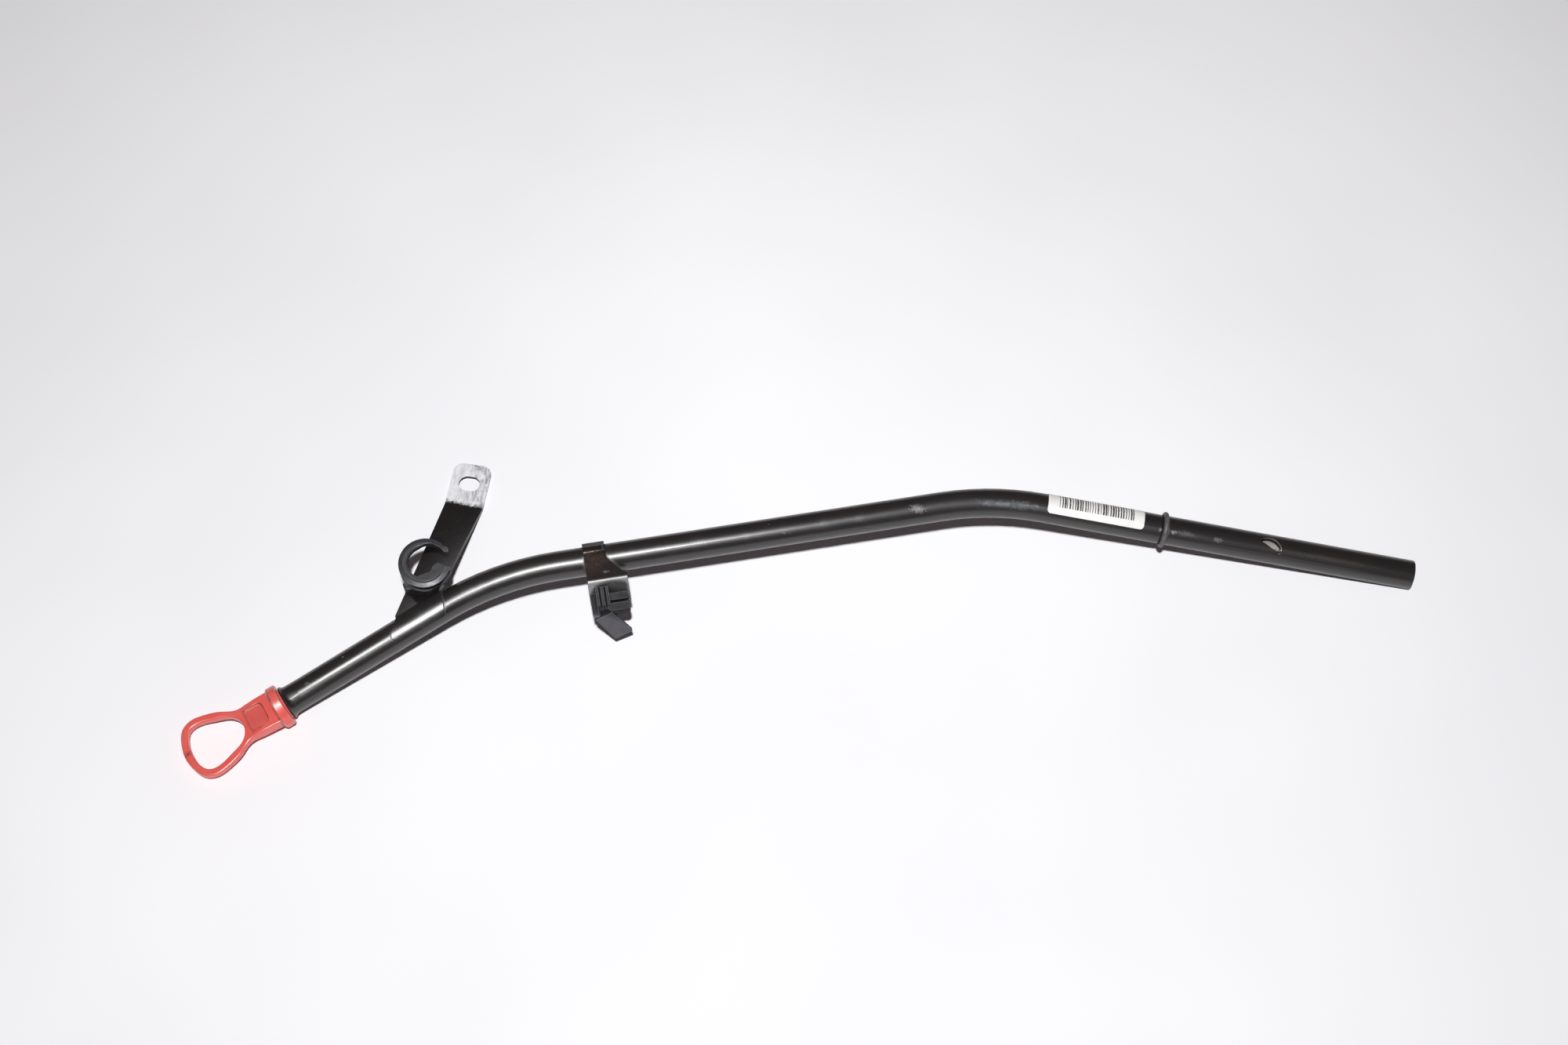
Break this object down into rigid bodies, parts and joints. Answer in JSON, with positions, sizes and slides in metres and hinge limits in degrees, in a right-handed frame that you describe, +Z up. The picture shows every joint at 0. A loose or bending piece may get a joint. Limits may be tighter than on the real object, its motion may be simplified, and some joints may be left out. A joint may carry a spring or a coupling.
{
  "type": "engine oil dipstick in its guide tube",
  "caption": "Bent guide tube with a looped pull-out oil dipstick, a slotted mounting tab, hose clip, wiring clip, label and a sealed lower end that plugs into an engine block.",
  "frame": {"origin": "centre of the part's footprint as it lies on a table, at table height", "axes": "+X along the tube from the handle to the lower end, +Y towards the slotted tab, +Z up"},
  "size_m": [0.5887, 0.173, 0.0441],
  "materials": {
    "black_tube": "gloss black coating on steel tube",
    "black_steel": "black coated sheet steel",
    "black_plastic": "moulded, slight sheen",
    "seal_rubber": "matte",
    "red_plastic": "moulded, satin",
    "spring_steel": "bright rolled strip",
    "white_label": "paper faced film"
  },
  "bodies": {
    "guide": {"guide_tube": "black_tube", "tube_seal": "seal_rubber", "mounting_bracket": "black_steel", "hose_clip": "black_plastic", "clip_bracket": "black_steel", "wiring_clip": "black_plastic", "part_label": "white_label"},
    "dipstick": {"dipstick_handle": "red_plastic", "plug_seal_upper": "seal_rubber", "plug_seal_lower": "seal_rubber", "dipstick_blade": "spring_steel"}
  },
  "joints": [
    {"name": "dipstick_pull", "type": "slide", "parent": "guide", "child": "dipstick", "axis": [-0.8489, -0.4952, -0.1848], "range_m": [0, 0.015], "deforming": ["dipstick_blade"]}
  ]
}
